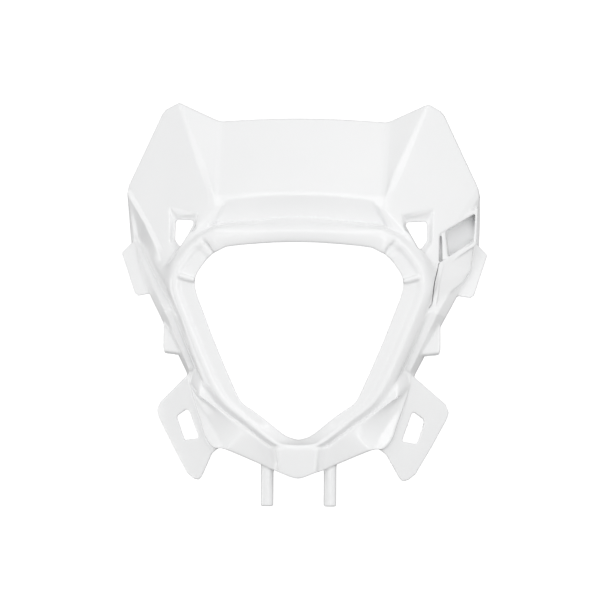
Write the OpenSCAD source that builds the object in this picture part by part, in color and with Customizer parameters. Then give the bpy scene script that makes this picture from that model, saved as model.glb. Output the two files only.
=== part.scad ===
// Headlight mask of an enduro motorcycle: one moulded shell round a lamp opening.
// X runs to the right seen from the front, Y runs to the back, Z is up.
// The origin is the centre of the lamp opening, on the front of its flat land.

/* [Lamp opening] */
// Width of the lamp opening
opening_w = 167; // [160:1:172]
// Height of the lamp opening
opening_h = 158.6; // [152:0.2:164]
// Width of the land and bead round the opening, at the sides
land_w = 17.8; // [16:0.2:19]
// Width of the land and bead at the chin
land_low_w = 12; // [10:0.5:13]
// Width of the bead along the outside of the land
bead_w = 6.4; // [5:0.2:8]
// Height of the bead over the land
bead_h = 3.6; // [2:0.2:5]

/* [Shell] */
// Wall of the moulding
wall = 2.6; // [2:0.1:3.5]
// Width across the outer corners
shell_w = 281; // [272:1:290]
// Height of the outer corners over the lamp centre
corner_z = 119; // [113:1:125]
// Distance from the lamp land back to the outer corners
corner_back = 50; // [42:1:58]
// Width of the strut along the foot of the side wall
strut_w = 9.8; // [7:0.2:12]

/* [Top panel] */
// Height of the middle of the top edge over the lamp centre
top_z = 177.4; // [170:0.2:184]
// Distance from the lamp land back to the middle of the top edge
top_back = 36; // [28:1:42]
// Width of the top panel between its two creases
panel_w = 134.4; // [128:0.4:138]
// Rise of the middle of the top edge over its corners
top_arch = 2.8; // [1:0.2:5]
// How far the panel's sides curve back from its middle
panel_curve = 5.5; // [3:0.5:8]

/* [Horns] */
// Distance between the two horn tips
horn_span = 200; // [192:1:208]
// Height of the horn tips over the lamp centre
horn_z = 189.6; // [186:0.2:196]
// Distance from the lamp land back to the horn tips
horn_back = 38; // [32:1:44]

/* [Brow] */
// Height of the brow over the top of the lamp opening
brow_h = 13.7; // [11:0.1:16]
// How far the brow stands in front of the land
brow_out = 9; // [6:0.5:12]
// Height of the recessed band over the brow
band_h = 23.5; // [20:0.5:26]
// How far the band's foot lies behind the land
band_back = 7; // [4:0.5:9]

/* [Chin] */
// Distance from the lamp centre down to the tip of the chin
chin_z = 110.5; // [107:0.5:115]
// Width of the raised nose on the chin
nose_w = 32; // [28:1:36]
// How far the nose stands in front of the land
nose_out = 5; // [3:0.5:8]

/* [Lower wings] */
// Width across the outermost points of the lower wings
wing_span = 232.4; // [226:0.4:240]
// Distance from the lamp centre down to those points
wing_z = 57; // [54:0.5:60]
// Distance from the lamp centre down to the wing tips
wing_tip_z = 111; // [107:0.5:115]
// Distance from the lamp land back to the outermost points
wing_back = 43; // [36:1:48]

/* [Strap slots] */
// Width of the upper slots
upper_slot_w = 16; // [13:0.5:18]
// Height of the upper slots
upper_slot_h = 22; // [18:0.5:24]
// Width of the lower slots
lower_slot_w = 11; // [9:0.5:13]
// Height of the lower slots
lower_slot_h = 23; // [20:0.5:26]

/* [Tabs] */
// How far an upper tab stands out past the side wall's lower corner
tab_out = 12.8; // [9:0.2:16]
// Height of an upper tab
tab_h = 41; // [37:1:45]
// Thickness of the tabs
tab_t = 3; // [2.4:0.2:4]
// How far a small tab stands out past the foot of the side wall
small_tab_out = 5.2; // [3:0.2:8]
// Height of a small tab
small_tab_h = 22; // [18:1:25]

/* [Legs] */
// Diameter of the two round legs
leg_d = 10; // [8:0.5:11]
// Distance between the legs' axes
leg_spacing = 50.4; // [48:0.2:53]
// Length of a leg below its boss
leg_l = 36; // [28:1:42]
// Diameter of the boss that carries a leg
boss_d = 15; // [14:0.5:17]

/* [Hose guide] */
// Clear depth between the side wall and the guide's cover
guide_depth = 15; // [11:0.5:18]
// Width of the slit along the guide
slit_w = 2.4; // [1.6:0.2:3.2]
// Wall of the guide's cover
cover_wall = 2.6; // [2:0.2:3.2]

/* [Hidden] */
$fn = 48;
plastic = [0.95, 0.95, 0.95];

// Right half of the lamp opening's outline, from the middle of the top to the
// middle of the bottom, in shares of its half width and half height.
opening_shape = [
    [0, 1], [0.36, 0.99], [0.683, 0.96], [0.796, 0.903], [0.862, 0.84],
    [0.93, 0.755], [0.99, 0.655], [1, 0.59], [1, 0.54], [0.978, 0.45],
    [0.95, 0.37], [0.92, 0.29], [0.81, 0], [0.68, -0.315], [0.6, -0.5],
    [0.56, -0.59], [0.525, -0.64], [0.475, -0.68], [0.43, -0.71],
    [0.385, -0.745], [0.327, -0.79], [0.228, -0.875], [0.132, -0.955],
    [0.07, -0.985], [0, -1]
];
last = len(opening_shape) - 1;
brow_end = 3;
taper_start = 15;
taper_end = 19;
nose_start = 23;

function mix(a, b, t) = a + (b - a) * t;
function spread(a, b, shares) = [for (t = shares) mix(a, b, t)];
function unit(v) = v / norm(v);
function beside(d) = unit([-d[1], d[0]]);
function mirrored(p) = [-p[0], p[1], p[2]];

opening = [for (p = opening_shape) [p[0] * opening_w / 2, p[1] * opening_h / 2]];
opening_top = opening_h / 2;

// Offset that moves every side of the outline outwards by one unit.
function outward(i) =
    i == 0 ? [0, 1] :
    i == last ? [0, -1] :
    let (
        before = beside(opening[i] - opening[i - 1]),
        after = beside(opening[i + 1] - opening[i]),
        middle = unit(before + after)
    ) middle / (middle * before);

// Land and bead between the opening's edge and the body, one list per station.
valley = 3;
taper = taper_end - taper_start;
function land_at(i) =
    i >= nose_start ? land_low_w - 3 :
    mix(land_w, land_low_w, min(max((i - taper_start) / taper, 0), 1));
function land_point(i, out, back) =
    let (p = opening[i] + outward(i) * out) [p[0], back, p[1]];
function land_section(i) =
    let (w = land_at(i)) [
        land_point(i, 0, 0),
        land_point(i, w - bead_w, 0),
        land_point(i, w - bead_w * 0.72, -bead_h),
        land_point(i, w - bead_w * 0.36, -bead_h),
        land_point(i, w, valley)
    ];

// Brow over the opening and the panel above it.
crease_x = panel_w / 2;
brow_shares = [0, 0.45, 0.9, 1];
function sweep_back(x) = panel_curve * pow(x / crease_x, 2);
function panel_x(i) = crease_x * brow_shares[i];
function brow_section(i) =
    let (
        x = opening[i][0],
        z = opening[i][1],
        x2 = mix(x, panel_x(i), 0.5),
        h = brow_h + opening_top - (opening_top - z) * 0.6 - z,
        out = brow_out * (1 - 0.5 * brow_shares[i] * brow_shares[i])
    ) [
        [x, 0, z],
        [mix(x, x2, 0.3), -0.55 * out, z + 0.14 * h],
        [mix(x, x2, 0.6), -out, z + 0.48 * h],
        [mix(x, x2, 0.8), -0.75 * out, z + 0.86 * h],
        [x2, band_back * 0.55 + sweep_back(x), z + 1.12 * h]
    ];

band_top = opening_top + brow_h + band_h;
function top_edge(i) = [
    panel_x(i),
    top_back + sweep_back(panel_x(i)),
    top_z - top_arch * pow(brow_shares[i], 2)
];
function panel_foot(i) = [
    panel_x(i),
    2 + sweep_back(panel_x(i)),
    band_top + 3 - 3.4 * pow(brow_shares[i], 2)
];
function panel_section(i) = concat(
    [panel_foot(i) + [-1.5 * brow_shares[i], -1, -4]],
    spread(panel_foot(i), top_edge(i), [0, 0.33, 0.67, 1])
);

// Corners of the body on the right side.
horn_tip = [horn_span / 2, horn_back, horn_z];
shoulder = horn_tip + [11, 5.6, -7.6];
ridge_foot = [crease_x + 4, 5.5, band_top + 4];
ridge_root = ridge_foot + [-1.8, -2, -16];
horn_root = ridge_root + [11, 3.5, -5];
outer_corner = [shell_w / 2, corner_back, corner_z];
cheek_foot = [opening_w / 2 + land_w + 5.7, 15.5, 61];
wall_corner = outer_corner + [-6.5, 10, -39.5];
wall_foot = [opening_w / 2 + land_w + 3.5, 13, 25];
strut_out = [0.86, 0.1, -0.5] * strut_w;
chin_side = [30, 5, 11.3 - chin_z];
chin_edge = [20, 4, 6.9 - chin_z];
nose_edge = [nose_w / 2 - 1.5, 2, 5 - chin_z];
chin_tip = [0, 2, -chin_z];

// The lower wing is a flat plate that runs outwards and back from the body.
wing_slope = 0.7;
wing_fall = -0.08;
function wing_point(x, z, ahead) = [
    x,
    wing_back + wing_slope * (x - wing_span / 2) + wing_fall * (z + wing_z) - ahead,
    z
];
wing_rims = [[88.5, -34], [86, -43], [82.5, -54], [78.5, -66], [74.5, -78], [68, -86], [59, -87]];
wing_outline = concat([
    [88.8, -27.6], [wing_span / 2 - 2.2, 6 - wing_z], [wing_span / 2, -wing_z],
    [wing_span / 2 - 1.4, -wing_z - 5], [wing_span / 2 - 12.9, -wing_z - 27],
    [wing_span / 2 - 25.4, 5 - wing_tip_z], [wing_span / 2 - 30.8, 0.6 - wing_tip_z],
    [wing_span / 2 - 34.4, -wing_tip_z], [wing_span / 2 - 36.6, 2.6 - wing_tip_z],
    [70.5, -90.2], [66.5, -87]
], [for (i = [5:-1:0]) wing_rims[i] + [-2.5, 0.7]]);

// Where the body's edge lies on the wing, from its top down to the chin.
lap = 1.2;
wing_top = wing_point(90.4, -25.4, lap);
function wing_rim(i) = let (p = wing_rims[i]) wing_point(p[0], p[1], lap);

function foot_at(i) = land_section(i)[4];
function strut_station(i, t) =
    let (edge = mix(wall_foot, wall_corner, t), out = strut_out * (1 - 0.45 * t * t * t))
    concat(
        spread(foot_at(i), edge, [0.33, 0.66, 1]),
        [edge + out * 0.5, edge + out]
    );
function low_strut_station(i, t) =
    let (rim = mix(wall_foot + strut_out, wing_top, t))
    concat(
        spread(foot_at(i), rim - strut_out * 0.95, [0.36, 0.7, 1]),
        [rim - strut_out * 0.5, rim]
    );

// Below the wings' tops a narrow strip runs along the bead to a soft crease.
strip_w = 4.2;
strip_low_w = 2;
function crease_at(i) =
    let (w = mix(strip_w, strip_low_w, min(max((i - taper_start) / 6, 0), 1)))
    land_point(i, land_at(i) + w, 1.6);
function lower_station(i, rim) = spread(crease_at(i), rim, [0, 0.25, 0.5, 0.75, 1]);
function nose_station(i, top, low) =
    spread([top, -nose_out, 0.5 - opening_top - land_low_w], low, [0, 0.25, 0.5, 0.75, 1]);

function body_section(i) =
    i <= brow_end ? panel_section(i) :
    i == 4 ? concat([ridge_root], spread(ridge_foot, horn_tip, [0, 0.38, 0.7, 1])) :
    i == 5 ? spread(horn_root, shoulder, [0, 0.23, 0.5, 0.76, 1]) :
    i == 6 ? spread(cheek_foot, outer_corner, [0, 0.22, 0.46, 0.71, 1]) :
    i == 7 ? strut_station(i, 1) :
    i == 8 ? strut_station(i, 0.73) :
    i == 9 ? strut_station(i, 0.45) :
    i == 10 ? strut_station(i, 0.18) :
    i == 11 ? strut_station(i, 0) :
    i == 12 ? low_strut_station(i, 0.55) :
    i == 13 ? low_strut_station(i, 1) :
    i <= 20 ? lower_station(i, wing_rim(i - 14)) :
    i == 21 ? lower_station(i, chin_side) :
    i == 22 ? lower_station(i, chin_edge) :
    i == 23 ? nose_station(i, nose_w / 2, nose_edge) :
    nose_station(i, 0, chin_tip);

function station(i) =
    concat(i <= brow_end ? brow_section(i) : land_section(i), body_section(i));

half = [for (i = [0:last]) station(i)];
ring = concat(
    half,
    [for (i = [last - 1:-1:1]) [for (p = half[i]) mirrored(p)]]
);

// Shell between the ring's front points and the same points moved straight back
// by the wall, measured square to the surface.
module shell(rows, thickness) {
    n = len(rows);
    m = len(rows[0]);
    function at(i, j) = rows[(i + n) % n][min(max(j, 0), m - 1)];
    function facing(i, j) = unit(cross(at(i, j + 1) - at(i, j - 1), at(i + 1, j) - at(i - 1, j)));
    function depth(i, j) = thickness / max(abs(facing(i, j)[1]), 0.4);
    front = [for (i = [0:n - 1]) for (j = [0:m - 1]) at(i, j)];
    back = [for (i = [0:n - 1]) for (j = [0:m - 1]) at(i, j) + [0, depth(i, j), 0]];
    function id(i, j) = (i % n) * m + j;
    skin = [
        for (i = [0:n - 1]) for (j = [0:m - 2])
            for (f = [
                [id(i, j), id(i, j + 1), id(i + 1, j + 1)],
                [id(i, j), id(i + 1, j + 1), id(i + 1, j)]
            ]) f
    ];
    edges = [
        for (i = [0:n - 1]) for (f = [
            [id(i, 0), id(i + 1, 0), id(i + 1, 0) + n * m],
            [id(i, 0), id(i + 1, 0) + n * m, id(i, 0) + n * m],
            [id(i, m - 1), id(i + 1, m - 1) + n * m, id(i + 1, m - 1)],
            [id(i, m - 1), id(i, m - 1) + n * m, id(i + 1, m - 1) + n * m]
        ]) f
    ];
    rear = [for (f = skin) [f[0] + n * m, f[2] + n * m, f[1] + n * m]];
    polyhedron(points = concat(front, back), faces = concat(skin, rear, edges));
}

// Block between a front and a rear outline, both clockwise seen from the front.
module block(front, rear) {
    n = len(front);
    sides = [for (i = [0:n - 1]) [i, i + n, (i + 1) % n + n, (i + 1) % n]];
    polyhedron(
        points = concat(front, rear),
        faces = concat([[for (i = [0:n - 1]) i]], [[for (i = [n - 1:-1:0]) i + n]], sides)
    );
}

// Folded sheet between rows of front points and the same rows of rear points.
module sheet(front, rear) {
    n = len(front);
    m = len(front[0]);
    function id(i, j) = i * m + j;
    skin = [
        for (i = [0:n - 2]) for (j = [0:m - 2])
            for (f = [
                [id(i, j), id(i, j + 1), id(i + 1, j + 1)],
                [id(i, j), id(i + 1, j + 1), id(i + 1, j)]
            ]) f
    ];
    rim = concat(
        [for (j = [0:m - 1]) id(0, j)], [for (i = [1:n - 1]) id(i, m - 1)],
        [for (j = [m - 2:-1:0]) id(n - 1, j)], [for (i = [n - 2:-1:1]) id(i, 0)]
    );
    r = len(rim);
    sides = [
        for (k = [0:r - 1]) let (a = rim[k], b = rim[(k + 1) % r])
            for (f = [[a, a + n * m, b + n * m], [a, b + n * m, b]]) f
    ];
    faces = concat(skin, [for (f = skin) [f[0] + n * m, f[2] + n * m, f[1] + n * m]], sides);
    polyhedron(points = [for (row = concat(front, rear)) for (p = row) p], faces = faces);
}

// Plate whose front corners are given, with its thickness straight back.
module plate(points, thickness) {
    block(points, [for (p = points) p + [0, thickness, 0]]);
}

// Straight cut along Y with the given outline, seen from the front.
module cut(outline, front, rear) {
    translate([0, rear, 0]) rotate([90, 0, 0]) linear_extrude(rear - front) polygon(outline);
}

module both_sides() {
    children();
    mirror([1, 0, 0]) children();
}

module wing() {
    plate([for (p = wing_outline) wing_point(p[0], p[1], 0)], tab_t * 1.15);
}

// Upper tab, on a plane that follows the strut.
tab_lap = 1;
tab_x = wall_corner[0] + tab_out;
tab_top = wall_corner[2];
function tab_point(x, z) = [
    x,
    wall_corner[1] + tab_lap + 0.3 * (x - wall_corner[0]) + 0.48 * (z - tab_top),
    z
];
tab_outline = [
    [tab_x - 9, tab_top - 1], [tab_x, tab_top - 10.5], [tab_x - 10.6, tab_top - 1 - tab_h],
    [tab_x - 12.8, tab_top - 2.6 - tab_h], [tab_x - 22.4, tab_top - 1 - tab_h],
    [tab_x - 27, tab_top - 30], [tab_x - 18, tab_top - 10]
];
module upper_tab() {
    plate([for (p = tab_outline) tab_point(p[0], p[1])], tab_t);
}

// Small tab behind the strut, level with the lower end of the side wall.
small_x = wall_foot[0] + small_tab_out;
small_top = 13;
small_front = 14.2;
module small_tab() {
    cut([
        [small_x - 13, small_top + 2], [small_x - 0.6, small_top],
        [small_x, small_top - small_tab_h * 0.8], [small_x - 0.8, small_top - small_tab_h],
        [small_x - 14, small_top - small_tab_h - 2], [small_x - 20, small_top - small_tab_h]
    ], small_front, small_front + tab_t);
}

// Round leg on a boss behind the lower edge of the chin.
leg_y = 13;
boss_low = 14 - chin_z;
boss_h = 17;
module leg() {
    translate([leg_spacing / 2, leg_y, boss_low]) {
        cylinder(d = boss_d, h = boss_h);
        translate([0, 0, -leg_l]) cylinder(d = leg_d, h = leg_l + 1);
    }
}

slot_in = crease_x + 17.3;
upper_slot_top = mix(cheek_foot[2], horn_root[2], 0.62) + upper_slot_h / 2;
module upper_slot() {
    cut([
        [slot_in, upper_slot_top - 0.8], [slot_in + upper_slot_w - 1, upper_slot_top],
        [slot_in + upper_slot_w, upper_slot_top - 2], [slot_in + upper_slot_w, upper_slot_top - 15],
        [slot_in + upper_slot_w - 4, upper_slot_top - upper_slot_h],
        [slot_in + upper_slot_w - 6, upper_slot_top - upper_slot_h + 0.6],
        [slot_in, upper_slot_top - 4]
    ], -20, 80);
}

lower_slot_x = 88.7;
lower_slot_z = -56.8;
module lower_slot() {
    cut([
        [lower_slot_x, lower_slot_z], [lower_slot_x + 2, lower_slot_z + 0.2],
        [lower_slot_x + lower_slot_w - 1, lower_slot_z - 6],
        [lower_slot_x + lower_slot_w - 1, lower_slot_z - 9],
        [lower_slot_x + lower_slot_w - 7, lower_slot_z - lower_slot_h - 1.2],
        [lower_slot_x - 8, lower_slot_z - lower_slot_h + 1.4]
    ], -20, 80);
}

// Hose guide on the right side: a pocket under the horn that runs down behind a cover.
guide_x = cheek_foot[0];
guide_z = cheek_foot[2];
side_x = wall_corner[0];
side_z = wall_corner[2];

// Depth of the horn's flat outer face at a place seen from the front.
horn_face = cross(shoulder - ridge_foot, outer_corner - ridge_foot);
function horn_y(x, z) =
    ridge_foot[1] - (horn_face[0] * (x - ridge_foot[0]) + horn_face[2] * (z - ridge_foot[2])) / horn_face[1];

function deepened(outline, front) = [
    for (p = outline) [p[0], horn_y(p[0], p[1]) + front, p[1]]
];
mouth = [
    [guide_x + 3, guide_z + 24.5], [side_x + 4, side_z + 23.4],
    [side_x + 3, side_z], [guide_x + 5.5, guide_z], [guide_x + 3, guide_z + 1]
];
pocket = [
    [guide_x + 0.4, guide_z + 27], [side_x + 6.3, side_z + 28],
    [side_x + 5.4, side_z - 2], [guide_x + 5, guide_z - 3], [guide_x + 0.4, guide_z - 1]
];
pocket_depth = guide_depth + 3;
module guide_pocket() {
    block(deepened(pocket, 0.5), deepened(pocket, pocket_depth + cover_wall));
}
module guide_cavity() {
    block(deepened(mouth, -20), deepened(mouth, pocket_depth));
}

// Cover of the guide, its return to the side wall and the cheek beside its slit.
cheek_edge = [
    cheek_foot + [1.5, 0.5, 2], cheek_foot + [-1.5, -4.5, -15], cheek_foot + [-5, -7.5, -32]
];
slit_gap = [slit_w * 1.1, 0.8, 0];
lip_out = wall_corner + [3, -16, 1.5];
cover_low = wall_corner + [0.8, -18, -22];
cover_foot = wall_corner + [-5, -24, -32];
cover_slit = [for (p = cheek_edge) p + slit_gap];
cover_rim = [lip_out, cover_low, cover_foot, cover_slit[2] + [1.5, 2, -2]];
cover_inner = concat(cover_slit, [cover_slit[2] + [0, 0.3, -0.8]]);
cover_depth = [18, 12, 8, 8];
cover_inward = [[-1, 0, -0.3], [-1, 0, 0.2], [-0.7, 0, 0.7], [0.2, 0, 1]];
module guide_cover() {
    stations = [0:3];
    function behind(p) = p + [0, cover_wall, 0];
    function inward(p, i) = p + cover_inward[i] * cover_wall;
    roots = [for (i = stations) cover_rim[i] + [0, cover_depth[i], 0]];
    sheet(
        [for (i = stations) [cover_inner[i], cover_rim[i], roots[i]]],
        [for (i = stations) [behind(cover_inner[i]), behind(inward(cover_rim[i], i)), inward(roots[i], i)]]
    );
}
module guide_cheek() {
    inner = [cheek_foot + [-9.5, -12.5, -5], cheek_foot + [-9, -13, -16], cheek_foot + [-12, -12.5, -34]];
    behind = [0, cover_wall, 0];
    inward = [-cover_wall, 0, 0];
    root = [0, 8, 0];
    sheet(
        [for (i = [0:2]) [inner[i], cheek_edge[i], cheek_edge[i] + root]],
        [for (i = [0:2]) [inner[i] + behind, cheek_edge[i] + behind + inward, cheek_edge[i] + root + inward]]
    );
}
module guide_divider() {
    x = guide_x + 6;
    fin = [
        [x, guide_z + 26.5], [x + 2.2, guide_z + 28], [x + 2.2, guide_z + 4], [x, guide_z + 2]
    ];
    block(deepened(fin, 1), deepened(fin, pocket_depth + 1));
}

module mask_shell() {
    color(plastic) union() {
        difference() {
            union() {
                shell(ring, wall);
                both_sides() {
                    wing();
                    upper_tab();
                    small_tab();
                    leg();
                }
                guide_pocket();
            }
            both_sides() {
                upper_slot();
                lower_slot();
            }
            guide_cavity();
        }
        guide_cover();
        guide_cheek();
        guide_divider();
    }
}

mask_shell();
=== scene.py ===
"""Looks of the motorcycle headlight mask: one white moulded shell, lit as in the photograph."""
import math

import bmesh
import bpy
from mathutils import Matrix, Vector


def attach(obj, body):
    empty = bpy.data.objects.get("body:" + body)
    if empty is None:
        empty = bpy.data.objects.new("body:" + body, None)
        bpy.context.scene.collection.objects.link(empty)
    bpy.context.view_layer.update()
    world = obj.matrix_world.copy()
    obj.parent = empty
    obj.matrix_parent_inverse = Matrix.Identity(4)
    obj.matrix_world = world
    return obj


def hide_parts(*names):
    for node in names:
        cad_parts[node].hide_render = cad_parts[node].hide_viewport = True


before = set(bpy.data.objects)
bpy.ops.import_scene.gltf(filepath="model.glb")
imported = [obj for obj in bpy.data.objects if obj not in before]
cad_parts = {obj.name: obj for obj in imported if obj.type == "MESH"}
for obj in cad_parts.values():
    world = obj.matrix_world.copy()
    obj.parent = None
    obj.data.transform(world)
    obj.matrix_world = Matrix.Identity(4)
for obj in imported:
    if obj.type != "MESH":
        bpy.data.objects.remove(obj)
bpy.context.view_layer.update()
scene = bpy.context.scene
MM = 0.001

# Sizes of the moulding in millimetres, seen from the front: X to the right, Y to the back, Z up.
# The ring round the opening is worked out at stations, from 0 at the middle of its top to LAST at
# the middle of its foot, and mirrored. Each station has lines from 0 at the opening's edge over the
# VALLEY behind the bead to the RIM, and one more behind the rim.
OPENING_W = 167.0
OPENING_H = 158.6
TOP = OPENING_H / 2
WALL = 2.6
REAR = 67.8
# The opening's edge at each station, as shares of half its width and half its height.
OPENING_SHAPE = [
    (0, 1), (0.36, 0.985), (0.683, 0.95), (0.796, 0.898), (0.862, 0.84),
    (0.93, 0.755), (0.99, 0.655), (1, 0.59), (1, 0.54), (0.978, 0.45),
    (0.95, 0.37), (0.92, 0.29), (0.814, 0), (0.687, -0.315), (0.608, -0.5),
    (0.566, -0.59), (0.528, -0.64), (0.475, -0.68), (0.43, -0.71),
    (0.385, -0.745), (0.327, -0.79), (0.228, -0.875), (0.132, -0.955),
    (0.07, -0.985), (0, -1),
]
LAST = len(OPENING_SHAPE) - 1
VALLEY, RIM = 5, 11
# Where the parts of the ring start and end, as stations.
BROW_END, RIDGE, SHOULDER_EDGE, CHEEK, WALL_START = 3, 4, 5, 6, 7
STRUT_START, SIDE_END, LOW_START = 12, 13, 14
WING_END, CHIN_START, NOSE_START = 20, 21, 23

# The bead's crest: its distance from the opening along the side, then its place as (x, z) from
# LOW_START on.
CREST_OUT = (14.6, 14.7, 15, 15.6, 16, 16, 15.7, 15.5, 15.3, 14.9, 14.6)
CREST_LOW = [
    (65.2, -41), (61.4, -46.4), (57.3, -51), (52.7, -55.3), (47.6, -59.3), (42.3, -63.5),
    (36.5, -68.1), (28, -74.8), (19.4, -81), (13.5, -84), (0, -84.8),
]
BEAD_H = 1.2
# Across the crest: inner foot, inner and outer edge of the bead's top, valley, and the valley's Y.
SIDE_BEAD = (5.2, 2.4, 1.8, 6.6, 4.8)
LOW_BEAD = (3.4, 1.4, 1.2, 4, 3.4)
NOSE_BEAD = (1.9, 1.2, 0.7, 1.6, -4.2)
# The bead changes from the first to the second over this many stations.
LOW_TURN = 5
# How far back the land's and the bead's lines lie at the chin.
CHIN_BACK = (6.6, 3, -1.2, -2, -2.6)
CHIN_TURN = 3

# At the brow's stations: the share of the way along it, and X and Y of its upper foot.
BROW_SHARES = (0, 0.45, 0.9, 1)
BROW_X = (0, 31, 66, 73.5)
BROW_FOOT_Y = (7, 8, 9.6, 5)
BROW_H = 13.7
BROW_OUT = 9.0
# The brow follows this share of the opening's drop, and its reach forward fades by this share.
BROW_DROP, BROW_FADE = 0.72, 0.45
BROW_FOOT_H = (1.42, 1.14)
# Height over the opening's edge and reach forward of the brow's lower edge.
BROW_EDGE = (-0.6, 0.74)
# The brow's section: shares of the way to BROW_X, of its height and of its reach forward.
BROW_PROFILE = ((0.15, 0.12, 0.88), (0.45, 0.38, 0.97), (0.7, 0.64, 0.95), (0.9, 0.98, 0.5))

# The recessed band over the brow, and the top panel's foot and top as Y, Z and drop at the side.
BAND_H = 23.5
BAND_TOP = TOP + BROW_H + BAND_H
BAND_STEP = (-1.4, -3.4)
BAND_CORNERS = (Vector((56.5, 4, 112.4)), Vector((64, 3.6, 106)))
PANEL_X = 67.2
PANEL_SWEEP = 5.5
PANEL_FOOT = (2, BAND_TOP + 3, 3.4)
PANEL_TOP = (36, 177.4, 2.8)

HORN_TIP = Vector((100, 38, 189.6))
SHOULDER = Vector((111, 43.6, 182))
RIDGE_FOOT = Vector((71.2, 5.5, 120.5))
RIDGE_ROOT = Vector((69.4, 3.5, 104.5))
HORN_ROOT = Vector((80.4, 7, 99.5))
OUTER_CORNER = Vector((140.5, 50, 119))
CHEEK_FOOT = Vector((107, 15.5, 61))
WALL_CORNER = Vector((134, 60, 79.5))
WALL_FOOT = Vector((104.8, 13, 25))
HORN_FACE = (SHOULDER - RIDGE_FOOT).cross(OUTER_CORNER - RIDGE_FOOT)

STRUT_OUT = Vector((0.86, 0.1, -0.5)) * 9.8
STRUT_END = (90.4, -25.4, 1.2)
STRUT_SIDE = Vector((0.6, 6.4, 0))
STRUT_FADE = 0.45
# How far up the wall and how far down the strut their stations lie.
WALL_SHARES = (1, 0.73, 0.45, 0.18, 0)
STRUT_SHARES = (0.55, 1)
# The strut's raised strip: its edges as shares of STRUT_OUT, and how far forward it stands.
STRIP_EDGES = (0.08, 0.5)
STRIP_RAISED = -4.2
LOW_STRIP_INNER, LOW_STRIP_OUTER = (0.96, 0.68), (0.5, 0.24)
LOW_STRIP_RAISED = (-4.4, -3.4)
LOW_STRIP_FLANK = 0.06
STRIP_FOOT = 0.9

# Outer corner of the lower wing as (x, y, z), and how its plane slopes back with x and z.
WING_CORNER = (116.2, 43, -57)
WING_SLOPES = (0.7, -0.08)
WING_TIP = -111
# Rims of the lower wings' facets from LOW_START on, and how wide and how far ahead they are.
WING_RIMS = [(88.5, -34), (86, -43), (82.5, -54), (78.5, -66), (74.5, -78), (68, -86), (59, -87)]
FACET_W = (0.6, 1.2, 3.2, 6.6, 9.6, 7.5, 2)
FACET_AHEAD = (1.2, 3, 5, 5.6, 5.6, 4.4, 2)
FACET_TILT, FACET_STEP, FACET_RISE = -0.08, 0.3, 0.18
# The crease along the bead's strip: its X from LOW_START on, its Y, and its line on the front.
CREASE_X = (79, 73.5, 66, 59.5, 53, 47, 40.5, 31.6, 22.6)
CREASE_Y = 1.6
CREASE_START = (81, -43.4)
CREASE_SLOPE = 0.722
CHIN_RIMS = (Vector((30, 6.6, -99.2)), Vector((20, 5.6, -103.6)))
NOSE_SIDE = (Vector((15.8, -4.4, -87)), Vector((14.5, -2.4, -105.5)))
NOSE_MIDDLE = (Vector((0, -4.4, -88)), Vector((0, -2.4, -110.2)))
NOSE_GROOVE = 1.6

RIM_BACK = 1.6
WING_RIM_OUT, WING_RIM_BACK = 0.6, 1.4
# How far the station after the brow turns from the one before it to its own, at the inner lines.
BROW_TURN = (0.16, 0.6)
PANEL_TURN = 0.3
# Place and height of the small step where the strut's strip ends.
STEP_PLACE, STEP_BACK = 0.12, 1.5

# Smoothing takes a little off each rim, so rims and plates start larger.
TOP_GROW, HORN_GROW, RIM_GROW, PLATE_GROW = 0.3, 1.4, 0.9, 0.9
MITRE_LIMIT = 0.6
# Reach and reach at the rim of the creases that are softened, by station.
SOFT = {
    3: (2.5, 2.5), 4: (4.5, 1.6), 5: (4.5, 3), 6: (3.5, 3.5), 7: (2.2, 2.2),
    22: (0.8, 0.8), 23: (0.8, 0.8),
}
TIP_LINES = 3
INNER_MOVE, MOST_MOVE = 0.25, 0.3
# Stations whose crease stays sharp.
SHARP = (11, 13)
# Lines that stay creased across the ring, by the kind of station.
BENDS = {
    "brow": {0, 5, 6, 7, 11, 12},
    "side": {0, 6, 7, 8, 9, 10, 11, 12},
    "low": {0, 6, 10, 11, 12},
}
STATION_STEPS = 5
LINE_STEPS = 4
SLOPE_LIMIT = 1.2
QUARTERS = (0.25, 0.5, 0.75, 1)
FIFTHS = (0, 0.2, 0.4, 0.6, 0.8, 1)
LOW_STRUT_STEPS = (0.3, 0.55, 0.8, 1)

# The photograph shows both struts a little further right, and the left horn a little wider. Here
# stand the first line that is moved and by how much.
STRUT_SHIFTS = {"right": (10, 1.8), "left": (5, 1.6)}
STRUT_MIDDLE_Z, STRUT_REACH_Z = 20, 40
LEFT_HORN_X, LEFT_HORN_Z, LEFT_HORN_RISE, LEFT_HORN_WIDER = -108, 95, 20, 1.3
# It also shows the wings and tabs on the right reaching a little further out.
WING_WIDER, TAB_WIDER, SMALL_TAB_WIDER = 0.7, 1.4, 1.2

# The wall goes straight back, deeper on steep faces. A face that looks less far forward than this
# share counts as no steeper.
STEEP_LIMIT = 0.34
DEPTH_ROUNDS = 3

WING_WALL = 3.4
TAB_WALL = 3
TAB_CORNER = (146.0, 79.5)
TAB_DEPTH = 61
TAB_SLOPES = (0.3, 0.48)
SMALL_TAB_X = 110
# Y and lower edge of the small tab at its front and at its rear.
SMALL_TAB_FRONT, SMALL_TAB_REAR = (19, -8.2), (23, -10.5)
LEG_X, LEG_Y = 25.2, 13
LEG_FOOT, LEG_TOP, LEG_R = -132.5, -95.5, 5
BOSS_FOOT, BOSS_TOP, BOSS_R = -96.5, -79.5, 7.5
LEG_BEVEL = 0.8
LAND_RIB = ((95, -0.9, 51), (85.4, -0.9, 48.2))
STRUT_BAR = ((78.6, 6.6, -40.4), (85.2, 19.9, -34.8))
BAR_R = 2.2

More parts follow.
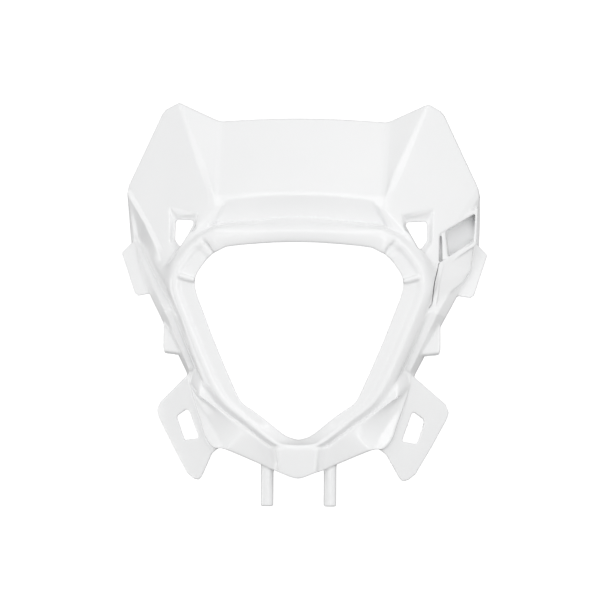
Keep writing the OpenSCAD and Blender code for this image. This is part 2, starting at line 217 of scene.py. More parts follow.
# Outlines as (x, z), seen from the front; 1 is the right side and -1 the left.
UPPER_SLOTS = {
    1: [(84.6, 95), (99.4, 95.8), (100.5, 93.8), (100.8, 80.6), (96.5, 73.6), (94.5, 74.2), (84.6, 91.6)],
    -1: [(86, 95.4), (99.5, 96.2), (101, 94), (101.2, 79.6), (97.2, 74.6), (95.2, 75.2), (86, 92.4)],
}
LOWER_SLOTS = {
    1: [(89.6, -57.2), (91.5, -57), (98.8, -62.8), (98.9, -65.6), (93.2, -82.2), (81.8, -80.2)],
    -1: [(89.1, -56.8), (91.5, -55.8), (99.2, -61), (99.1, -63), (92.9, -80.4), (82, -78.8), (81.2, -77)],
}
CUT_FRONT, CUT_REAR = -20, 80
RECESS_RIM = [(81, 101.5), (106.5, 107), (105.8, 99), (105.4, 78), (100.8, 71), (94.2, 72), (83, 91.9)]
RECESS_FLOOR = [(84.4, 97), (101.2, 97.8), (102.2, 94), (102.3, 80.3), (97.3, 73.4), (94.6, 74), (84.2, 92)]
RECESS_MORE = -0.38
CUP_GROW = 4.5
# Depths of the front and rear end of each block behind the horn's outer face.
CUP_DEPTHS = (1.4, 8)
RECESS_DEPTHS = (-2.4, 5)
POCKET_DEPTHS = (0.5, 20.6)
CAVITY_DEPTHS = (-20, 18)
DIVIDER_DEPTHS = (1, 19)
FLOOR_DEPTHS = (8, 19)

GUIDE_POCKET = [(107.4, 88), (140.3, 107.5), (139.4, 77.5), (112, 58), (107.4, 60)]
GUIDE_MOUTH = [(110.7, 85.8), (138, 102.9), (137, 79.5), (112.5, 61), (110.7, 62)]
GUIDE_FIN = [(112.2, 88), (114.6, 90), (117.3, 68), (113.3, 64)]
GUIDE_FILL = [(109, 86), (114, 88), (115, 65), (109, 61)]
POCKET_TAPER = 3.4
CHEEK_START = [Vector((97.5, 3, 56)), Vector((98, 2.5, 45)), Vector((95, 3, 27))]
CHEEK_EDGE = [Vector((108.5, 16, 63)), Vector((105.5, 11, 46)), Vector((102, 8, 29))]
CHEEK_BACK = Vector((0, 8, 0))
COVER_GAP = Vector((2.64, 0.8, 0))
COVER_RIM = [Vector((137, 44, 81)), Vector((134.8, 42, 57.5)), Vector((129, 36, 47.5))]
COVER_DEPTH = (18, 12, 8, 8)
COVER_INWARD = [Vector(v) for v in ((-1, 0, -0.3), (-1, 0, 0.2), (-0.7, 0, 0.7), (0.2, 0, 1))]
COVER_CORNER = (Vector((0, 0.3, -0.8)), Vector((1.5, 2, -2)))
SLIT_PATH = [(111, 20, 63), (108.2, 15.2, 47.6), (105.9, 12.2, 30), (103.6, 12, 26.6)]
# Half the width and the depth, at the front and at the rear.
SLIT_FLOOR = ((3.6, -0.6), (3.6, 5))
SLIT_CUT = ((0.4, -18), (0.3, 0.5))

VOXEL = 0.75
SMOOTH_ROUNDS = 3
TRIANGLE_LIMIT = 190000

# The photograph: its width in pixels, pixels per metre at the mask, and the pixel of the origin.
PHOTO_W = 610
PX_PER_M = 1250.0
ORIGIN_PX = (298.5, 340.5)
CAMERA_YAW, CAMERA_ROLL = 4, 0.4
CAMERA_FAR = 12.0
CAMERA_NEARER = 0.02
SENSOR_W = 36

# The plastic: its two whites and its roughness, between which a faint waviness mixes.
WHITES = ((0.88, 0.885, 0.89, 1), (0.91, 0.912, 0.913, 1))
ROUGHNESS = (0.16, 0.23)

# The light: how strong the sky is, towards what it gets brighter, and the boxes as name, place,
# size and power.
SKY_LEVEL = 0.44
SKY_SLOPE = 0.42
SKY_TOWARD = (0.22, -0.86, 0.46)
BACKDROP = 1.1
LAMP_AIM = (0, 0, 0.03)
LAMPS = (
    ("right_front_box", (0.5, -1.5, 0), (0.3, 1.4), 3.6),
    ("left_front_box", (-0.5, -1.5, 0), (0.2, 0.9), 1.2),
    ("wide_front_box", (0, -1.2, 1.0), (1.6, 0.5), 4.2),
    ("right_box", (1.55, 0.1, -0.3), (1.0, 1.2), 2.6),
    ("left_box", (-1.55, 0.25, -0.35), (1.0, 1.2), 8.5),
)


def mix(a, b, t):
    """Value between a and b at share t."""
    return a + (b - a) * t


def spread(a, b, shares):
    """Points on the straight line from a to b at each share."""
    return [a.lerp(b, t) for t in shares]


def opening_point(i):
    """The opening's edge at a station, seen from the front."""
    return Vector((OPENING_SHAPE[i][0] * OPENING_W / 2, OPENING_SHAPE[i][1] * OPENING_H / 2))


def outward(i):
    """Offset that moves the sides of the opening's outline outwards by one unit."""
    if i == 0:
        return Vector((0, 1))
    if i == LAST:
        return Vector((0, -1))
    before = opening_point(i) - opening_point(i - 1)
    after = opening_point(i + 1) - opening_point(i)
    a = Vector((-before.y, before.x)).normalized()
    b = Vector((-after.y, after.x)).normalized()
    middle = (a + b).normalized()
    return middle / middle.dot(a)


def wing_point(x, z, ahead=0.0):
    """A point on the plane of the lower wing, or ahead of it, at a place seen from the front."""
    corner_x, corner_y, corner_z = WING_CORNER
    slope_x, slope_z = WING_SLOPES
    return Vector((x, corner_y + slope_x * (x - corner_x) + slope_z * (z - corner_z) - ahead, z))


def lowness(i):
    """0 along the sides of the opening and 1 at its lower end."""
    return min(max((i - LOW_START) / LOW_TURN, 0), 1)


def crest_point(i):
    """Top of the bead beside the opening, seen from the front."""
    if i < LOW_START:
        return opening_point(i) + outward(i) * CREST_OUT[max(i - BROW_END, 0)]
    return Vector(CREST_LOW[i - LOW_START])


def crest_way(i):
    """Direction across the bead, away from the opening."""
    if i == LAST:
        return Vector((0, -1))
    run = crest_point(i + 1) - crest_point(max(i - 1, BROW_END))
    return Vector((-run.y, run.x)).normalized()


def lifted(p, back):
    """The flat point in space, at the given depth."""
    return Vector((p.x, back, p.y))


def land_section(i):
    """Flat land, the bead along it with its outer flank, and the valley behind that."""
    t = lowness(i)
    chin = min(max((i - WING_END) / CHIN_TURN, 0), 1)
    sizes = NOSE_BEAD if i >= NOSE_START else [mix(a, b, t) for a, b in zip(SIDE_BEAD, LOW_BEAD)]
    inner_foot, inner_top, outer_top, valley, valley_y = sizes
    edge, crest, way = opening_point(i), crest_point(i), crest_way(i)
    foot = crest - way * inner_foot
    back = [b * chin for b in CHIN_BACK]
    return [
        lifted(edge, back[0]),
        lifted(edge.lerp(foot, 0.5), back[1]),
        lifted(foot, back[2]),
        lifted(crest - way * inner_top, back[3] - BEAD_H),
        lifted(crest + way * outer_top, back[4] - BEAD_H),
        lifted(crest + way * valley, valley_y),
    ]


def brow_section(i):
    """Rolled brow over the opening, up to the foot of the recessed band."""
    p = opening_point(i)
    t = BROW_SHARES[i]
    foot_x = BROW_X[i]
    high = BROW_H + TOP - (TOP - p.y) * BROW_DROP - p.y
    out = BROW_OUT * (1 - BROW_FADE * t * t)
    drop, reach = BROW_EDGE
    roll = [Vector((mix(p.x, foot_x, a), -c * out, p.y + b * high)) for a, b, c in BROW_PROFILE]
    foot = Vector((foot_x, BROW_FOOT_Y[i], p.y + mix(*BROW_FOOT_H, t) * high))
    return [Vector((p.x, -reach * out, p.y + drop))] + roll + [foot]


def panel_section(i):
    """Recessed band and the leaning top panel."""
    t = BROW_SHARES[i]
    x = PANEL_X * t
    sweep = PANEL_SWEEP * t * t
    foot, top = [Vector((x, y + sweep, z - drop * t * t)) for y, z, drop in (PANEL_FOOT, PANEL_TOP)]
    band = BAND_CORNERS[i - 2] if i >= 2 else foot + Vector((-i, *BAND_STEP))
    return [band] + spread(foot, top, (0, *QUARTERS))


def wall_rim(t):
    """Where the side wall ends, and the way from there to the outline."""
    return WALL_FOOT.lerp(WALL_CORNER, t), STRUT_OUT * (1 - STRUT_FADE * t ** 3)


def strut_rim(t):
    """Outline of the strut, from the side wall down to the lower wing."""
    return (WALL_FOOT + STRUT_OUT).lerp(wing_point(*STRUT_END), t)


def strut_section(i, t):
    """Side wall behind the bead, with the strut's raised strip along its end."""
    edge, out = wall_rim(t)
    raised = Vector((0, STRIP_RAISED * (1 - t), 0))
    wall = spread(land_section(i)[VALLEY], edge + raised * STRIP_FOOT, QUARTERS)
    return wall + [edge + out * share + raised for share in STRIP_EDGES]


def low_strut_section(i, t):
    """Lower part of the strut, where its raised strip runs close to the bead."""
    rim = strut_rim(t)
    inner, outer = mix(*LOW_STRIP_INNER, t), mix(*LOW_STRIP_OUTER, t)
    raised = Vector((0, mix(*LOW_STRIP_RAISED, t), 0))
    foot = rim - STRUT_OUT * (inner + LOW_STRIP_FLANK) + raised * STRIP_FOOT
    wall = spread(land_section(i)[VALLEY], foot, LOW_STRUT_STEPS)
    return wall + [rim - STRUT_OUT * share + raised for share in (inner, outer)]


def lower_section(i, rim):
    """Narrow strip along the bead, its crease, the face below it and a flat facet along the wing."""
    x = CREASE_X[i - LOW_START]
    crease = Vector((x, CREASE_Y, CREASE_START[1] - CREASE_SLOPE * (CREASE_START[0] - x)))
    flat = FACET_W[i - LOW_START] if i <= WING_END else 1
    inner = rim + Vector((-flat, FACET_TILT * flat - FACET_STEP, FACET_RISE * flat))
    return [crease] + spread(crease, inner, QUARTERS) + [rim]


def body_section(i):
    """Lines 6 to 11 of a station, from the valley or band out to the rim."""
    if i <= BROW_END:
        return panel_section(i)
    if i == RIDGE:
        return [RIDGE_ROOT] + spread(RIDGE_FOOT, HORN_TIP, (0, *QUARTERS))
    if i == SHOULDER_EDGE:
        return spread(HORN_ROOT, SHOULDER, FIFTHS)
    if i == CHEEK:
        return spread(CHEEK_FOOT, OUTER_CORNER, FIFTHS)
    if i < STRUT_START:
        return strut_section(i, WALL_SHARES[i - WALL_START])
    if i <= SIDE_END:
        return low_strut_section(i, STRUT_SHARES[i - STRUT_START])
    if i <= WING_END:
        x, z = WING_RIMS[i - LOW_START]
        return lower_section(i, wing_point(x, z, FACET_AHEAD[i - LOW_START]))
    if i < NOSE_START:
        return lower_section(i, CHIN_RIMS[i - CHIN_START])
    return spread(*(NOSE_SIDE if i == NOSE_START else NOSE_MIDDLE), FIFTHS)


def rim_edge(i):
    """Last line of a station: the rolled rim, or the narrow side face along the strut."""
    if i <= CHEEK or i > WING_END:
        return body_section(i)[-1] + Vector((0, RIM_BACK, 0))
    if i < STRUT_START:
        edge, out = wall_rim(WALL_SHARES[i - WALL_START])
        return edge + out + STRUT_SIDE
    if i <= SIDE_END:
        return strut_rim(STRUT_SHARES[i - STRUT_START]) + STRUT_SIDE
    back = WING_RIM_BACK + FACET_AHEAD[i - LOW_START]
    return body_section(i)[-1] + Vector((WING_RIM_OUT, back, 0))


def station(i):
    """Points of all lines at one station, from the opening's edge to behind the rim."""
    inner = brow_section(i) if i <= BROW_END else land_section(i)
    points = inner + body_section(i) + [rim_edge(i)]
    if i <= SIDE_END:
        by = TOP_GROW if i <= RIDGE else HORN_GROW if i <= CHEEK else RIM_GROW
        away = (points[RIM] - points[RIM - 1]).normalized() * by
        if i <= CHEEK:
            points[RIM] += away
        points[RIM + 1] += away
    return points


def beside(here, there, reach, tip):
    """The station here moved towards the one there, so that a sharp crease becomes a soft one."""
    out = []
    for j, (a, b) in enumerate(zip(here, there)):
        away = max((b - a).length, 0.001)
        move = mix(reach, tip, max((j - RIM + TIP_LINES) / TIP_LINES, 0))
        out.append(a.lerp(b, INNER_MOVE if j <= VALLEY else min(move / away, MOST_MOVE)))
    return out


def brow_end(before, here):
    """Station between the brow and the side, which turns from one to the other near the opening."""
    start = land_section(BROW_END)
    near = [start[j].lerp(here[j], mix(*BROW_TURN, j / VALLEY)) for j in range(VALLEY + 1)]
    return near + [a.lerp(b, PANEL_TURN) for a, b in list(zip(before, here))[VALLEY + 1:]]


def strut_step(before, here):
    """Small step where the strut's strip ends over the lower wing."""
    points = [a.lerp(b, STEP_PLACE) for a, b in zip(before, here)]
    for p in points[RIM - 1:RIM + 1]:
        p.y += STEP_BACK
    return points


def nose_groove(before, here):
    """Groove beside the raised nose, outside the bead."""
    points = [a.lerp(b, 0.5) for a, b in zip(before, here)]
    for p in points[VALLEY + 1:]:
        p.y += NOSE_GROOVE
    return points


def half_stations():
    """Stations of the right half as (points, kind, sharp), with creases split into two."""
    plain = [station(i) for i in range(LAST + 1)]
    out = []
    for i, points in enumerate(plain):
        kind = "brow" if i <= BROW_END else "side" if i <= SIDE_END else "low"
        if i == RIDGE:
            out.append((brow_end(plain[i - 1], points), "side", True))
        if i == LOW_START:
            out.append((strut_step(plain[i - 1], points), "low", True))
        if i in SOFT:
            for there in (plain[i - 1], plain[i + 1]):
                out.append((beside(points, there, *SOFT[i]), kind, True))
            if i == NOSE_START - 1:
                out.append((nose_groove(points, plain[i + 1]), kind, True))
        else:
            out.append((points, kind, i in SHARP))
    return out


def eased(before, a, b, after, t):
    """Point between a and b; a missing neighbour makes that end of the piece straight."""
    start = (b - before) * 0.5 if before is not None else b - a
    end = (after - a) * 0.5 if after is not None else b - a
    limit = (b - a).length * SLOPE_LIMIT
    for v in (start, end):
        if v.length > limit:
            v.normalize()
            v *= limit
    t2, t3 = t * t, t * t * t
    return (a * (2 * t3 - 3 * t2 + 1) + start * (t3 - 2 * t2 + t)
            + b * (3 * t2 - 2 * t3) + end * (t3 - t2))


def refine(points, corners, steps, closed=False):
    """The points with further ones between them, smooth except at the corners."""
    n = len(points)
    out = []
    for k in range(n if closed else n - 1):
        a, b = points[k], points[(k + 1) % n]
        before = points[k - 1] if k not in corners else None
        after = points[(k + 2) % n] if (k + 1) % n not in corners else None
        out += [eased(before, a, b, after, s / steps) for s in range(steps)]
    return out if closed else out + [points[-1]]


def flipped(points):
    """Mirror image of the points, on the other side of the mask."""
    return [Vector((-p.x, p.y, p.z)) for p in points]


def shift_side(stations, side):
    """Moves the strut on this side, and the left horn's outer part, as the photograph shows them."""
    first, shift = STRUT_SHIFTS[side]
    for points, kind, sharp in stations:
        for p in points[first:]:
            if kind == "side":
                p.x += shift * max(0, 1 - abs(p.z - STRUT_MIDDLE_Z) / STRUT_REACH_Z)
            if p.x < LEFT_HORN_X:
                p.x -= LEFT_HORN_WIDER * min(max((p.z - LEFT_HORN_Z) / LEFT_HORN_RISE, 0), 1)


def ring_rows():
    """Rows of points round the whole ring, one row for each line from the opening outwards."""
    half = half_stations()
    other = [(flipped(points), kind, sharp) for points, kind, sharp in half[-2:0:-1]]
    shift_side(half, "right")
    shift_side(other, "left")
    stations = half + other
    n = len(stations)
    body_corners = {k for k, s in enumerate(stations) if s[2]}
    seams = {k for k in range(n) if (stations[k][1] == "brow") != (stations[k - 1][1] == "brow")}
    seams |= {(k - 1) % n for k in seams}
    rows = []
    for j in range(len(stations[0][0])):
        corners = seams if j <= VALLEY else body_corners
        rows.append(refine([s[0][j] for s in stations], corners, STATION_STEPS, closed=True))
    columns = []
    for k in range(len(rows[0])):
        kind = stations[int(k / STATION_STEPS + 0.5) % n][1]
        columns.append(refine([row[k] for row in rows], BENDS[kind], LINE_STEPS))
    return [list(row) for row in zip(*columns)]


def new_object(name, bm):
    """Object from the bmesh, in metres and with its normals outwards."""
    bmesh.ops.recalc_face_normals(bm, faces=bm.faces)
    bmesh.ops.scale(bm, vec=(MM, MM, MM), verts=bm.verts)
    mesh = bpy.data.meshes.new(name)
    bm.to_mesh(mesh)
    bm.free()
    obj = bpy.data.objects.new(name, mesh)
    scene.collection.objects.link(obj)
    return obj


def new_points(grown):
    """The vertices among the geometry that an extrusion made."""
    return [g for g in grown if isinstance(g, bmesh.types.BMVert)]


def extruded_faces(bm):
    """Extrudes all faces in place, and returns the vertices of the copy."""
    grown = bmesh.ops.extrude_face_region(bm, geom=list(bm.faces), use_keep_orig=True)["geom"]
    return new_points(grown)


def closed_line(points, filled):
    """Mesh with the points as one closed line, with or without a face; a circle is the start."""
    bm = bmesh.new()
    bmesh.ops.create_circle(bm, cap_ends=filled, radius=10, segments=len(points))
    bm.verts.ensure_lookup_table()
    for v, p in zip(bm.verts, points):
        v.co = p
    return bm


def extrude_line(bm, line, rim, row):
    """Extrudes the outer line to the next row of points, and returns its new edges and vertices."""
    grown = bmesh.ops.extrude_edge_only(bm, edges=line)["geom"]
    before = set(rim)
    pair = {}
    for v in new_points(grown):
        for e in v.link_edges:
            other = e.other_vert(v)
            if other in before:
                pair[other] = v
    rim = [pair[v] for v in rim]
    for v, p in zip(rim, row):
        v.co = p
    after = set(rim)
    line = [g for g in grown if isinstance(g, bmesh.types.BMEdge) and after.issuperset(g.verts)]
    return line, rim


def place_of(v):
    """The vertex's place, rounded so that its copy has the same one."""
    return tuple(round(c, 4) for c in v.co)


def wall_depths(bm):
    """How far back the wall goes at each place: more on steep faces, averaged over neighbours."""
    bmesh.ops.recalc_face_normals(bm, faces=bm.faces)
    bm.normal_update()
    depths = {v: WALL / max(abs(v.normal.y), STEEP_LIMIT) for v in bm.verts}
    for _ in range(DEPTH_ROUNDS):
        sums = {v: depths[v] + sum(depths[e.other_vert(v)] for e in v.link_edges) for v in bm.verts}
        depths = {v: total / (1 + len(v.link_edges)) for v, total in sums.items()}
    return {place_of(v): min(depth, REAR - v.co.y) for v, depth in depths.items()}


def ring_shell():
    """The whole ring: its first row is the opening's edge, and each further row is extruded."""
    rows = ring_rows()
    bm = closed_line(rows[0], filled=False)
    line, rim = list(bm.edges), list(bm.verts)
    for row in rows[1:]:
        line, rim = extrude_line(bm, line, rim, row)
    depths = wall_depths(bm)
    for v in extruded_faces(bm):
        v.co.y += depths.get(place_of(v), WALL)
    return new_object("ring_shell", bm)


def close_sheet(bm, front, rear):
    """Closes the sheet: a copy of each front point goes to the rear point with the same number."""
    for v in extruded_faces(bm):
        k = min(range(len(front)), key=lambda q: (v.co - front[q]).length)
        v.co = rear[k]


def between(name, front, rear):
    """Closed block between two outlines with the same number of points."""
    bm = closed_line(front, filled=True)
    close_sheet(bm, front, rear)
    return new_object(name, bm)


def plate(name, outline, thickness):
    """Flat plate from its front outline, with its thickness straight back."""
    return between(name, outline, [Vector((p.x, p.y + thickness, p.z)) for p in outline])


def folded_sheet(name, front_rows, rear_rows):
    """Sheet between rows of front points and the same rows of rear points."""
    bm = bmesh.new()
    across, down = len(front_rows[0]) - 1, len(front_rows) - 1
    bmesh.ops.create_grid(bm, x_segments=across, y_segments=down, size=1)
    order = sorted(bm.verts, key=lambda v: (round(v.co.y, 4), round(v.co.x, 4)))
    front = [p for row in front_rows for p in row]
    rear = [p for row in rear_rows for p in row]
    for v, p in zip(order, front):
        v.co = p
    close_sheet(bm, front, rear)
    return new_object(name, bm)


def cylinder(name, side, foot, top, radius):
    """Upright round piece behind the chin, with soft rims."""
    bm = bmesh.new()
    high = top - foot
    bmesh.ops.create_cone(bm, cap_ends=True, segments=40, radius1=radius, radius2=radius, depth=high)
    rims = [e for e in bm.edges if abs(abs(e.verts[0].co.z + e.verts[1].co.z) - high) < 0.01]
    bmesh.ops.bevel(bm, geom=rims, offset=LEG_BEVEL, segments=2, profile=0.5,
                    affect="EDGES", material=-1)
    bmesh.ops.translate(bm, verts=bm.verts, vec=(LEG_X * side, LEG_Y, (foot + top) / 2))
    return new_object(name, bm)


def bar(name, side, start, end):
    """Rounded bar between two points."""
    a, b = [Vector((x * side, y, z)) for x, y, z in (start, end)]
    bm = bmesh.new()
    bmesh.ops.create_uvsphere(bm, u_segments=16, v_segments=8, radius=BAR_R)
    way = b - a
    turn = way.to_track_quat("Z", "Y").to_matrix()
    for v in bm.verts:
        away = way.length if v.co.z > 0 else 0
        v.co = a + turn @ Vector((v.co.x, v.co.y, v.co.z + away))
    return new_object(name, bm)


def grow(outline, by):
    """The outline of (x, z) points moved outwards."""
    corners = [Vector(p) for p in outline]
    out = []
    for k, p in enumerate(corners):
        a = (p - corners[k - 1]).normalized()
        b = (corners[(k + 1) % len(corners)] - p).normalized()
        side = Vector((-a.y - b.y, a.x + b.x)).normalized()
        out.append(tuple(p + side * by / max(side.dot(Vector((-a.y, a.x))), MITRE_LIMIT)))
    return out


def on_side(points, side):
    """The points of the right side, or their mirror image for the left."""
    return points if side > 0 else flipped(points)


def wing(side):
    """Lower wing: a flat plate with a pointed lower tip."""
    half = WING_CORNER[0] + WING_WIDER * side
    tip = WING_TIP
    points = [
        (88.8, -27.6), (half - 2.2, -51), (half, -57), (half - 1.4, -62), (half - 12.9, -84),
        (half - 25.4, tip + 5), (half - 30.8, tip + 0.6), (half - 34.4, tip), (half - 36.6, tip + 2.6),
        (70.5, -90.2), (66.5, -87),
    ]
    points += [(x - 3.5, z + 1) for x, z in reversed(WING_RIMS[:6])]
    outline = [wing_point(x, z) for x, z in grow(points, PLATE_GROW)]
    return plate("wing", on_side(outline, side), WING_WALL)


def upper_tab(side):
    """Tab that stands out of the side wall under the horn."""
    x0, z0 = TAB_CORNER
    low = TAB_WIDER * side
    points = [
        (x0 - 9, z0 - 1), (x0, z0 - 10.5), (x0 - 10.6 + low, z0 - 42), (x0 - 12.8 + low, z0 - 43.6),
        (x0 - 22.4, z0 - 42), (x0 - 27, z0 - 30), (x0 - 18, z0 - 10),
    ]
    slope_x, slope_z = TAB_SLOPES
    outline = [
        Vector((x, TAB_DEPTH + slope_x * (x - WALL_CORNER.x) + slope_z * (z - z0), z))
        for x, z in grow(points, PLATE_GROW)
    ]
    return plate("upper_tab", on_side(outline, side), TAB_WALL)


def small_tab(side):
    """Small tab beside the strut, with a chamfer at its lower edge."""
    ends = []
    outer = SMALL_TAB_X + SMALL_TAB_WIDER * side
    for y, low in (SMALL_TAB_FRONT, SMALL_TAB_REAR):
        points = [(97, 15), (outer, 13), (outer + 0.2, -6), (outer - 0.8, low), (96, low - 1.5), (90, low)]
        ends.append(on_side([Vector((x, y, z)) for x, z in grow(points, PLATE_GROW)], side))
    return between("small_tab", *ends)


def on_horn(x, z, deeper):
    """Point on the horn's outer face, or behind it, at a place seen from the front."""
    away = HORN_FACE.x * (x - RIDGE_FOOT.x) + HORN_FACE.z * (z - RIDGE_FOOT.z)
    return Vector((x, RIDGE_FOOT.y - away / HORN_FACE.y + deeper, z))


def horn_block(name, side, front, rear, depths):
    """Block between two outlines, which both follow the horn's outer face at their depth."""
    ends = [[on_horn(x, z, depth) for x, z in outline] for outline, depth in zip((front, rear), depths)]
    return between(name, on_side(ends[0], side), on_side(ends[1], side))


def slot_cup(side):
    """Thicker wall behind the recess of the upper slot."""
    rim = grow(RECESS_FLOOR, CUP_GROW)
    return horn_block("slot_cup", side, rim, rim, CUP_DEPTHS)


def slot_recess(side):
    """Recess round the upper slot, which gets wider to the front."""
    pairs = zip(RECESS_RIM, RECESS_FLOOR)
    rim = [(mix(a, b, RECESS_MORE), mix(c, d, RECESS_MORE)) for (a, c), (b, d) in pairs]
    return horn_block("slot_recess", side, rim, RECESS_FLOOR, RECESS_DEPTHS)


def strap_slot(name, side, outline):
    """Straight cut for a strap, from the front to the back."""
    ends = [[Vector((x * side, y, z)) for x, z in outline] for y in (CUT_FRONT, CUT_REAR)]
    return between(name, *ends)


def guide_pocket():
    """Body of the hose guide under the right horn, before it is hollowed."""
    rear = [(x - (POCKET_TAPER if x > WALL_CORNER.x else 0), z) for x, z in GUIDE_POCKET]
    return horn_block("guide_pocket", 1, GUIDE_POCKET, rear, POCKET_DEPTHS)


def guide_cavity():
    """Hollow of the hose guide."""
    return horn_block("guide_cavity", 1, GUIDE_MOUTH, GUIDE_MOUTH, CAVITY_DEPTHS)


def guide_divider():
    """Fin that stands in the mouth of the hose guide."""
    return horn_block("guide_divider", 1, GUIDE_FIN, GUIDE_FIN, DIVIDER_DEPTHS)


def guide_floor():
    """Filled corner of the hose guide behind the divider."""
    return horn_block("guide_floor", 1, GUIDE_FILL, GUIDE_FILL, FLOOR_DEPTHS)


def guide_cover():
    """Cover outside the slit, with its outer side folded back."""
    inner = [p + COVER_GAP for p in CHEEK_EDGE]
    inner_corner, rim_corner = [inner[2] + offset for offset in COVER_CORNER]
    behind = Vector((0, WALL, 0))
    front, rear = [], []
    for i, (start, edge) in enumerate(zip(inner + [inner_corner], COVER_RIM + [rim_corner])):
        root = edge + Vector((0, COVER_DEPTH[i], 0))
        inward = COVER_INWARD[i] * WALL
        front.append([start, edge, root])
        rear.append([start + behind, edge + behind + inward, root + inward])
    return folded_sheet("guide_cover", front, rear)


def guide_cheek():
    """Cheek inside the slit, folded back along it."""
    behind = Vector((0, WALL, 0))
    side = Vector((-WALL, 0, 0))
    front, rear = [], []
    for start, edge in zip(CHEEK_START, CHEEK_EDGE):
        front.append([start, edge, edge + CHEEK_BACK])
        rear.append([start + behind, edge + behind + side, edge + CHEEK_BACK + side])
    return folded_sheet("guide_cheek", front, rear)


def slit_strip(name, sizes):
    """Block along the slit, from half its width and its depth at the front and at the rear."""
    ends = []
    for half, deeper in sizes:
        right = [Vector((x + half, y + deeper, z)) for x, y, z in SLIT_PATH]
        left = [Vector((x - half, y + deeper, z)) for x, y, z in reversed(SLIT_PATH)]
        ends.append(right + left)
    return between(name, *ends)


def combine(target, others, operation):
    """Joins the other objects to the target, or cuts them out of it."""
    for other in others:
        m = target.modifiers.new("combine", "BOOLEAN")
        m.operation = operation
        m.solver = "MANIFOLD"
        m.object = other
        bpy.context.view_layer.objects.active = target
        bpy.ops.object.modifier_apply(modifier=m.name)
        bpy.data.objects.remove(other, do_unlink=True)


def fuse(obj):
    """Turns the joined pieces into one even skin with soft moulded edges."""
    bpy.context.view_layer.objects.active = obj
    m = obj.modifiers.new("skin", "REMESH")
    m.mode = "VOXEL"
    m.voxel_size = VOXEL * MM
    bpy.ops.object.modifier_apply(modifier=m.name)
    bm = bmesh.new()
    bm.from_mesh(obj.data)
    for _ in range(SMOOTH_ROUNDS):
        bmesh.ops.smooth_vert(bm, verts=bm.verts, factor=0.5,
                              use_axis_x=True, use_axis_y=True, use_axis_z=True)
    bm.to_mesh(obj.data)
    bm.free()
    triangles = sum(len(p.vertices) - 2 for p in obj.data.polygons)
    if triangles > TRIANGLE_LIMIT:
        m = obj.modifiers.new("fewer", "DECIMATE")
        m.ratio = TRIANGLE_LIMIT / triangles
        bpy.ops.object.modifier_apply(modifier=m.name)
    obj.data.polygons.foreach_set("use_smooth", [True] * len(obj.data.polygons))
    obj.data.update()


def add_side(shell, side):
    """Adds the wing, tabs, leg, rib and recess of one side."""
    pieces = [
        wing(side),
        upper_tab(side),
        small_tab(side),
        cylinder("boss", side, BOSS_FOOT, BOSS_TOP, BOSS_R),
        cylinder("leg", side, LEG_FOOT, LEG_TOP, LEG_R),
        bar("land_rib", side, *LAND_RIB),
        bar("strut_end", side, *STRUT_BAR),
        slot_cup(side),
    ]
    combine(shell, pieces, "UNION")
    combine(shell, [slot_recess(side)], "DIFFERENCE")


def strap_slots():
    """The four slots for the straps."""
    slots = []
    for side in (1, -1):
        slots.append(strap_slot("upper_slot", side, UPPER_SLOTS[side]))
        slots.append(strap_slot("lower_slot", side, LOWER_SLOTS[side]))
    return slots


def mask():
    """The whole moulding: pieces joined, cut and turned into one skin, with the slit cut last."""
    shell = ring_shell()
    for side in (1, -1):
        add_side(shell, side)
    combine(shell, [guide_pocket()], "UNION")
    combine(shell, [guide_cavity()] + strap_slots(), "DIFFERENCE")
    sheets = [guide_cover(), guide_cheek(), guide_divider(), guide_floor()]
    combine(shell, sheets + [slit_strip("slit_floor", SLIT_FLOOR)], "UNION")
    shell.name = "mask_skin"
    fuse(shell)
    combine(shell, [slit_strip("guide_slit", SLIT_CUT)], "DIFFERENCE")
    return shell


def plastic():
    """Glossy white moulded plastic, with faint waviness and fine grain."""
    mat = bpy.data.materials.new("white_plastic")
    mat.use_nodes = True
    nodes, links = mat.node_tree.nodes, mat.node_tree.links
    shader = nodes["Principled BSDF"]
    place = nodes.new("ShaderNodeTexCoord")
    wave = nodes.new("ShaderNodeTexNoise")
    wave.inputs["Scale"].default_value = 18
    wave.inputs["Detail"].default_value = 3
    links.new(place.outputs["Object"], wave.inputs["Vector"])
    tone = nodes.new("ShaderNodeMapRange")
    tone.inputs["To Min"].default_value, tone.inputs["To Max"].default_value = ROUGHNESS
    links.new(wave.outputs["Fac"], tone.inputs["Value"])
    links.new(tone.outputs["Result"], shader.inputs["Roughness"])
    shade = nodes.new("ShaderNodeMix")
    shade.data_type = "RGBA"
    shade.inputs["A"].default_value, shade.inputs["B"].default_value = WHITES
    links.new(wave.outputs["Fac"], shade.inputs["Factor"])
    links.new(shade.outputs["Result"], shader.inputs["Base Color"])
    grain = nodes.new("ShaderNodeTexNoise")
    grain.inputs["Scale"].default_value = 900
    links.new(place.outputs["Object"], grain.inputs["Vector"])
    bump = nodes.new("ShaderNodeBump")
    bump.inputs["Strength"].default_value = 0.02
    bump.inputs["Distance"].default_value = 0.0002
    links.new(grain.outputs["Fac"], bump.inputs["Height"])
    links.new(bump.outputs["Normal"], shader.inputs["Normal"])
    shader.inputs["IOR"].default_value = 1.49
    shader.inputs["Subsurface Weight"].default_value = 0.08
    shader.inputs["Subsurface Radius"].default_value = (0.004, 0.004, 0.004)
    return mat


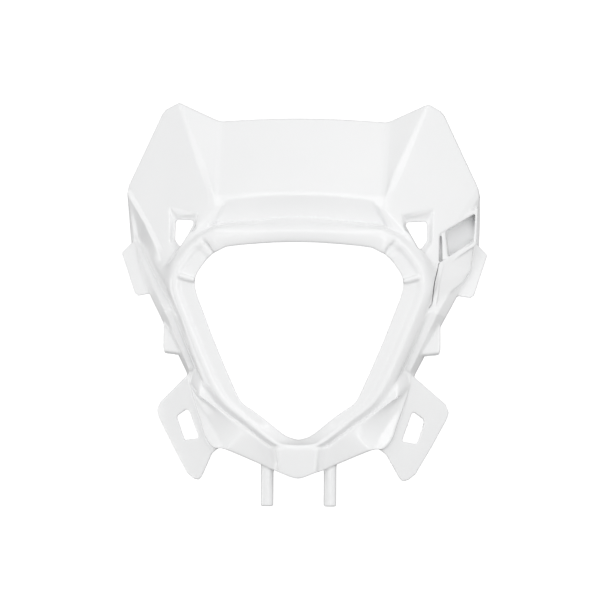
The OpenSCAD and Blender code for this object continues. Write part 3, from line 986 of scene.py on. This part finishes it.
def photo_camera():
    """Long lens, slightly to the viewer's right, framed as the photograph is."""
    yaw, roll = math.radians(CAMERA_YAW), math.radians(CAMERA_ROLL)
    lens = bpy.data.cameras.new("photo_camera")
    lens.sensor_width = SENSOR_W
    lens.lens = SENSOR_W * CAMERA_FAR / (PHOTO_W / PX_PER_M)
    lens.clip_end = 40
    cam = bpy.data.objects.new("photo_camera", lens)
    scene.collection.objects.link(cam)
    toward = Vector((-math.sin(yaw), math.cos(yaw), 0))
    turn = Matrix.Rotation(-roll, 3, toward)
    right = turn @ Vector((math.cos(yaw), math.sin(yaw), 0))
    up = turn @ Vector((0, 0, 1))
    middle = PHOTO_W / 2
    shift_right = (middle - ORIGIN_PX[0]) / PX_PER_M
    shift_up = (ORIGIN_PX[1] - middle) / PX_PER_M
    aim = right * shift_right + up * shift_up + toward * CAMERA_NEARER
    turned = Matrix((right, up, -toward)).transposed().to_4x4()
    cam.matrix_world = Matrix.Translation(aim - toward * CAMERA_FAR) @ turned
    return cam


def lamp(name, place, size, power):
    """Rectangular light that looks at the mask."""
    light = bpy.data.lights.new(name, "AREA")
    light.shape = "RECTANGLE"
    light.size, light.size_y = size
    light.energy = power
    obj = bpy.data.objects.new(name, light)
    scene.collection.objects.link(obj)
    obj.location = place
    obj.rotation_euler = (Vector(LAMP_AIM) - Vector(place)).to_track_quat("-Z", "Y").to_euler()


def surroundings():
    """White behind the mask for the camera, soft grey light and five boxes for the mask."""
    world = bpy.data.worlds.new("studio")
    scene.world = world
    world.use_nodes = True
    nodes, links = world.node_tree.nodes, world.node_tree.links
    back = nodes["Background"]
    back.inputs["Color"].default_value = (1, 1, 1, 1)
    way = nodes.new("ShaderNodeTexCoord")
    toward = nodes.new("ShaderNodeVectorMath")
    toward.operation = "DOT_PRODUCT"
    toward.inputs[1].default_value = SKY_TOWARD
    links.new(way.outputs["Generated"], toward.inputs[0])
    level = nodes.new("ShaderNodeMath")
    level.operation = "MULTIPLY_ADD"
    level.inputs[1].default_value = SKY_SLOPE
    level.inputs[2].default_value = SKY_LEVEL
    links.new(toward.outputs["Value"], level.inputs[0])
    links.new(level.outputs[0], back.inputs["Strength"])
    plain = nodes.new("ShaderNodeBackground")
    plain.inputs["Color"].default_value = (1, 1, 1, 1)
    plain.inputs["Strength"].default_value = BACKDROP
    path = nodes.new("ShaderNodeLightPath")
    pick = nodes.new("ShaderNodeMixShader")
    links.new(path.outputs["Is Camera Ray"], pick.inputs[0])
    links.new(back.outputs[0], pick.inputs[1])
    links.new(plain.outputs[0], pick.inputs[2])
    links.new(pick.outputs[0], nodes["World Output"].inputs[0])
    for box in LAMPS:
        lamp(*box)


scene.camera = photo_camera()
skin = mask()
white = plastic()
skin.data.materials.clear()
skin.data.materials.append(white)
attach(skin, "root")
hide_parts("mask_shell")
surroundings()
scene.view_settings.view_transform = "Standard"
